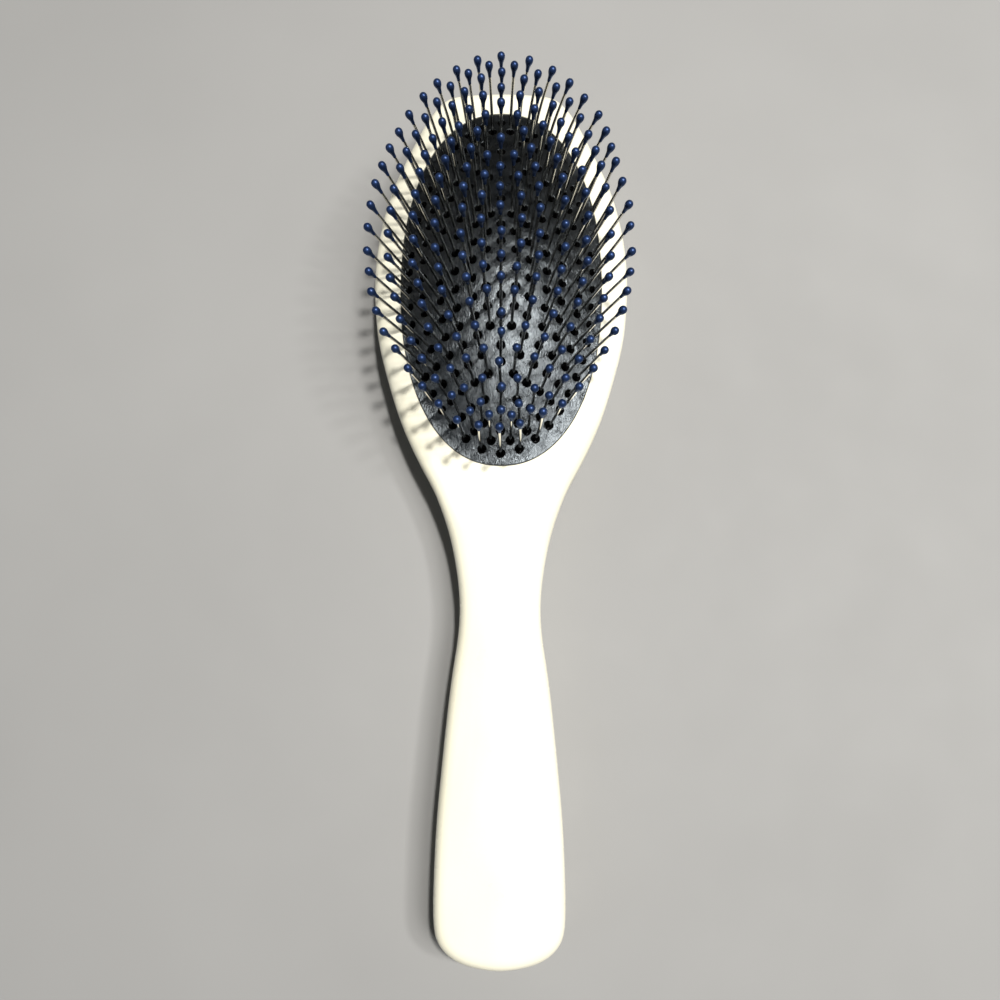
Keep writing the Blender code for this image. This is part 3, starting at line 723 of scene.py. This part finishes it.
def rubber_cushion():
    mesh = Mesh()
    count, around = 300, 20
    shift = np.array([0, OPENING_Y])
    holes = hole_frames()
    turn = np.arange(around) / around * 2 * math.pi
    rnd = random.Random(7)

    top_edge = oval(OPENING_A - 0.66, OPENING_B - 0.66, OPENING_E, count)
    top = mesh.loop(top_edge + shift, skin(top_edge[:, 0], top_edge[:, 1]))
    skirt = [top]
    for inset, fall in ((0.42, 0.0), (0.22, 0.02), (0.10, 0.07), (0.06, 0.18), (0.06, 0.50), (CUSHION_GAP, 0.80)):
        ring = oval(OPENING_A - inset, OPENING_B - inset, OPENING_E, count)
        skirt.append(mesh.loop(ring + shift, dome(ring[:, 0], ring[:, 1]) - fall))
    for ring, z in (
        (opening(-CUSHION_GAP, count), FRONT_Z + FLANGE_Z[0]),
        (opening(FLANGE_OUT, count), FRONT_Z + FLANGE_Z[0]),
        (opening(FLANGE_OUT, count), FRONT_Z + FLANGE_Z[1]),
        (oval(OPENING_A - 1.35, OPENING_B - 1.35, OPENING_E, count) + shift, FRONT_Z + FLANGE_Z[1]),
    ):
        skirt.append(mesh.loop(ring, z))
    under_edge = oval(OPENING_A - 1.35, OPENING_B - 1.35, OPENING_E, count)
    skirt.append(mesh.loop(under_edge + shift, dome(under_edge[:, 0], under_edge[:, 1]) - RUBBER))
    mesh.stack(skirt)

    rims, lows, stretch = [], [], []
    for (x, y), v, one, two in holes:
        base = np.array([x, y, float(dome(x, y))])
        size = CRATER_R * rnd.uniform(0.96, 1.02)
        wobble = 1 + 0.03 * np.sin(turn * 2 + rnd.uniform(0, 6.28)) + 0.02 * np.sin(turn * 3 + rnd.uniform(0, 6.28))

        def ring(r, depth, base=base, v=v, one=one, two=two, wobble=wobble):
            grow = 1 + (wobble - 1) * min(1.0, max(0.0, (r - NECK_R) / 0.5))
            return base - v * depth + (np.outer(np.cos(turn), one) + np.outer(np.sin(turn), two)) * (r * grow)[:, None]

        outside = []
        for r, lift in ((size + 0.16, 0.0), (size + 0.07, 0.005)):
            p = meet(ring(r, 0.0), v, skin)
            outside.append(mesh.loop(p[:, :2] + shift, p[:, 2] + lift))
        p = meet(ring(size, 0.0), v, skin)
        rim = mesh.loop(p[:, :2] + shift, p[:, 2] - 0.07, pit=0.35)
        pit = []
        for r, depth in ((size - 0.07, 0.30), (size - 0.12, 0.62), (size - 0.26, 0.93), (NECK_R + 0.12, CRATER_DEPTH), (NECK_R, CRATER_DEPTH + 0.14)):
            q = ring(r, depth)
            fall = p[:, 2].mean() - base[2]
            pit.append(mesh.loop(q[:, :2] + shift, q[:, 2] + fall * max(0.0, 1 - depth), pit=1.0))
        inner = meet(ring(NECK_R, RUBBER), v, lambda a, b: dome(a, b) - RUBBER)
        low = mesh.loop(inner[:, :2] + shift, inner[:, 2], pit=1.0)
        mesh.stack([outside[0], outside[1], rim, *pit, low])
        rims.append(outside[0])
        lows.append(low)
        stretch.append(size + 0.16)

    # the surface between the dimples
    grid = []
    step = 0.95
    for j, y in enumerate(np.arange(-OPENING_B, OPENING_B, step * 0.87)):
        for x in np.arange(-OPENING_A, OPENING_A, step) + (step / 2 if j % 2 else 0):
            if (abs(x) / (OPENING_A - 1.5)) ** (2 / OPENING_E) + (abs(y) / (OPENING_B - 1.5)) ** (2 / OPENING_E) > 1:
                continue
            grid.append((x + rnd.uniform(-0.12, 0.12), y + rnd.uniform(-0.12, 0.12)))
    grid = np.array(grid)
    centres = np.array([np.mean([mesh.co[i][:2] for i in ring], axis=0) for ring in rims]) - shift
    near = np.sqrt(((grid[:, None] - centres) ** 2).sum(-1)).min(1)
    grid = grid[near > max(stretch) + 0.28]
    inside = mesh.loop(grid + shift, skin(grid[:, 0], grid[:, 1]))
    mesh.flat(top, rims, inside)
    mesh.flat(skirt[-1], lows)
    made = mesh.object("rubber_cushion", BLACK, angle=60)
    # the dimple faces take the second rubber material, painted shade: its cut shine makes the holes read black
    made.data.materials.append(HOLE_SHADE)
    deep = np.zeros(len(made.data.vertices), np.float32)
    made.data.attributes["pit"].data.foreach_get("value", deep)
    for face in made.data.polygons:
        if min(deep[i] for i in face.vertices) > 0.3:
            face.material_index = 1
    return made


# ------------------------------------------------------------------ the pins
def step(value, low, high):
    """0 below low, 1 above high, and a smooth rise between."""
    t = min(1.0, max(0.0, (value - low) / (high - low)))
    return t * t * (3 - 2 * t)


def lie(x, y):
    """How far the tips have set to one side in use, in mm across and along the brush."""
    out = math.hypot(x / 24.75, y / 47.3)
    side = math.copysign(step(abs(x), 0.5, 6.0), x)
    head, heel = step(y, 16, 34), step(-y, 18, 36)
    across = side * ((1.25 if x > 0 else 0.9) * head * step(out, 0.80, 0.97) - 0.9 * heel * step(out, 0.55, 0.80))
    across += 0.45 * head * step(out, 0.6, 0.9) * step(abs(x), 0.5, 6.0)
    across -= 0.6 * step(-x, 5, 12) * (1 - step(abs(y + 4), 12, 26))
    across += 0.35 * step(x, 3, 6) * (1 - step(x, 16, 20)) * (1 - step(abs(y - 4), 10, 20))
    across -= 0.8 * step(x, 19, 22) * math.exp(-(((y - 16) / 7.0) ** 2))
    along = 0.3 + 1.9 * step(-y, 40, 45) * (1 - step(abs(x - 4), 6, 13))
    along += (1.5 if x > 0 else 1.1) * step(abs(x), 5, 14) * math.exp(-(((y - 14) / 9.0) ** 2))
    along -= 0.9 * step(abs(x), 1, 4) * step(-y, 16, 24) * (1 - step(out, 0.80, 0.93))
    return across, along


def pins(name, places, body):
    """The wires and the coated tips of one row of pins."""
    wires, tips = Mesh(), Mesh()
    for k, (x, y) in enumerate(places):
        rnd = random.Random(f"{name}{k}")
        v = lean(x, y)
        base = np.array([x, y + OPENING_Y, float(dome(x, y))])
        across, along = lie(x, y)
        push = np.array([across + rnd.gauss(0, 0.15), along + rnd.gauss(0, 0.15), 0.0])
        push -= v * np.dot(push, v)

        def spot(s, base=base, v=v, push=push):
            """Centre line of the pin, s along it from the rubber, and its direction there."""
            t = max(s, 0.0) / PIN_LENGTH
            at = base + v * s + push * t**1.7
            way = v * PIN_LENGTH + push * 1.7 * t**0.7
            return at, way / np.linalg.norm(way)

        one = np.cross(v, np.array([0, 1.0, 0]))
        one /= np.linalg.norm(one)

        def ring(mesh, s, r, sides, **masks):
            at, way = spot(s)
            a = one - way * np.dot(one, way)
            a /= np.linalg.norm(a)
            b = np.cross(way, a)
            turn = np.arange(sides) / sides * 2 * math.pi
            p = at + (np.outer(np.cos(turn), a) + np.outer(np.sin(turn), b)) * r
            return mesh.loop(p[:, :2], p[:, 2], **masks)

        # flat head under the rubber, then the wire up into its tip
        # the head's rings are painted near black: painted shade under the rubber
        rings = [
            ring(wires, -2.45, 0.75, 12, head_shade=1.0), ring(wires, -2.40, 0.95, 12, head_shade=1.0),
            ring(wires, -2.12, 0.95, 12, head_shade=1.0), ring(wires, -2.05, 0.80, 12, head_shade=1.0),
            ring(wires, -2.02, WIRE_R + 0.05, 12, head_shade=1.0),
        ]
        # along the wire one mask brightens it near the tip as painted reflection, the other paints its foot near black
        # as painted shade under the rubber
        rings += [
            ring(wires, s, WIRE_R, 12, tip_glint=step(s, 8.0, 19.0), head_shade=1.0 - step(s, -1.9, -0.6))
            for s in (-1.9, -0.6, 4.5, 9.0, 13.5, 17.5, PIN_LENGTH - 2.0)
        ]
        wires.stack(rings)
        wires.faces += [tuple(rings[0]), tuple(rings[-1])]

        # the dipped tip: a ball that draws out into a long neck
        size = BALL_R * rnd.uniform(0.89, 0.95)
        neck = rnd.uniform(3.3, 3.8)
        thin = WIRE_R + 0.02
        end = 1 / (1 + (1 / 0.43) ** 3)
        shape = [(-neck - 0.04, WIRE_R + 0.002)]
        for t in (1.0, 0.93, 0.84, 0.74, 0.64, 0.55, 0.47, 0.39, 0.31, 0.23, 0.15, 0.07):
            shape.append((-neck * t, thin + (size - thin) * (1 / (1 + (t / 0.43) ** 3) - end * t)))
        for angle in (0, 12, 24, 36, 48, 59, 69, 79):
            a = math.radians(angle)
            shape.append((size * math.sin(a), size * math.cos(a)))
        rings = [ring(tips, PIN_LENGTH + s, r, 16) for s, r in shape]
        tips.stack(rings)
        tips.faces.append(tuple(rings[0]))
        at, way = spot(PIN_LENGTH)
        pole = len(tips.co)
        tips.co.append(tuple(at + way * size))
        last = rings[-1]
        tips.faces += [(last[i], last[(i + 1) % len(last)], pole) for i in range(len(last))]
    short = name.replace("pins_", "")
    wire = wires.object("wires_" + short, STEEL, angle=50)
    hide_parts(name)
    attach(wire, body)
    tip = tips.object("tips_" + short, NAVY, angle=80)
    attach(tip, body)


# ------------------------------------------------------------------ assembly
front = front_shell()
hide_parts("front_shell")
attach(front, "root")
back = back_shell()
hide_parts("back_shell")
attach(back, "root")

tray = frame["nodes"]["chamber_tray"]
tray.data.materials.clear()
tray.data.materials.append(GREY)

cushion = rubber_cushion()
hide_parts("cushion")
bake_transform(cushion)

behaviour = frame["record"]["behaviour"]
body_of = {node: body for body, nodes in behaviour["bodies"].items() for node in nodes}
for row, where in ROWS:
    pins(row, where, body_of[row])

# ------------------------------------------------------------------ stage, light and camera
plane = bpy.data.meshes.new("floor")
plane.from_pydata([(-3, -3, 0), (3, -3, 0), (3, 3, 0), (-3, 3, 0)], [], [(0, 1, 2, 3)])
floor = bpy.data.objects.new("floor", plane)
SCENE.collection.objects.link(floor)
floor.location.z = -0.00005
plane.materials.append(floor_paint())


def area(name, where, size, watts, colour, aim=(0, 0.03, 0.015)):
    light = bpy.data.lights.new(name, "AREA")
    light.shape = "DISK"
    light.size = size
    light.energy = watts
    light.color = colour
    made = bpy.data.objects.new(name, light)
    SCENE.collection.objects.link(made)
    made.location = where
    made.rotation_mode = "QUATERNION"
    made.rotation_quaternion = (Vector(aim) - Vector(where)).to_track_quat("-Z", "Y")
    return made


area("key", (0.16, 0.19, 1.0), 0.07, 8.5, (1.0, 0.975, 0.93))
area("softbox", (0.355, -0.055, 0.95), 0.30, 5.6, (1.0, 0.985, 0.955))
area("side", (0.58, 0.09, 1.0), 0.12, 4.4, (1.0, 0.99, 0.97))
area("fill", (-0.80, -0.25, 0.75), 0.6, 0.8, (0.88, 0.94, 1.0))

world = bpy.data.worlds.new("studio")
SCENE.world = world
world.use_nodes = True
world.node_tree.nodes["Background"].inputs["Color"].default_value = (0.92, 0.96, 1.0, 1)
world.node_tree.nodes["Background"].inputs["Strength"].default_value = 0.026

camera_data = bpy.data.cameras.new("camera")
camera_data.sensor_width = 36.0
camera_data.lens = 28.8
camera_data.clip_start = 0.01
camera = bpy.data.objects.new("camera", camera_data)
SCENE.collection.objects.link(camera)
camera.location = (0.00089, -0.03910, 0.21740)
camera.rotation_euler = Euler([math.radians(a) for a in (10.199, 0.259, 0.160)], "XYZ")
SCENE.camera = camera
SCENE.view_settings.view_transform = "Standard"
SCENE.view_settings.look = "None"
